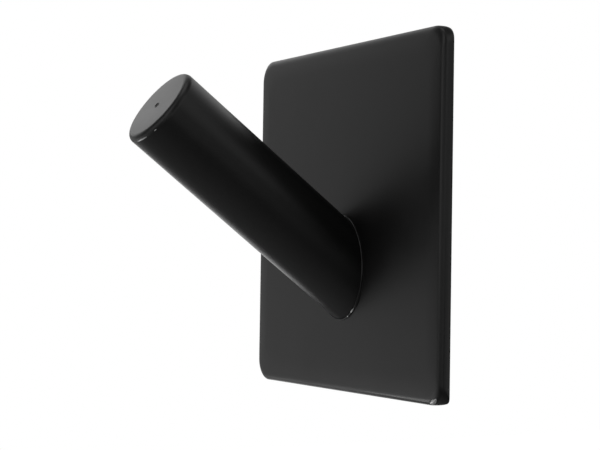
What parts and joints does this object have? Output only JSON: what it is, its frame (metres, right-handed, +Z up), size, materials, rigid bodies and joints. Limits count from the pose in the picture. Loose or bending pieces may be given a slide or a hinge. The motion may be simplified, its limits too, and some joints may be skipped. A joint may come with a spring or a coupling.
{
  "type": "adhesive wall hook",
  "caption": "Square plate with rounded corners and a foam pad behind it, stuck flat to a wall, with a round peg that rises outwards from it to hang things on.",
  "frame": {"origin": "centre of the adhesive pad's wall side", "axes": "+Z up as the hook hangs on its wall, -Y out of the wall towards the peg's tip, +X to the right as seen from the front"},
  "size_m": [0.051, 0.0361, 0.051],
  "materials": {
    "coated_steel": "matt black powder coat",
    "plated_steel": "zinc plated",
    "foam_tape": "matt closed-cell foam"
  },
  "bodies": {
    "root": {"backplate": "coated_steel", "peg": "coated_steel", "fixing_screw": "plated_steel", "adhesive_pad": "foam_tape"}
  },
  "joints": []
}
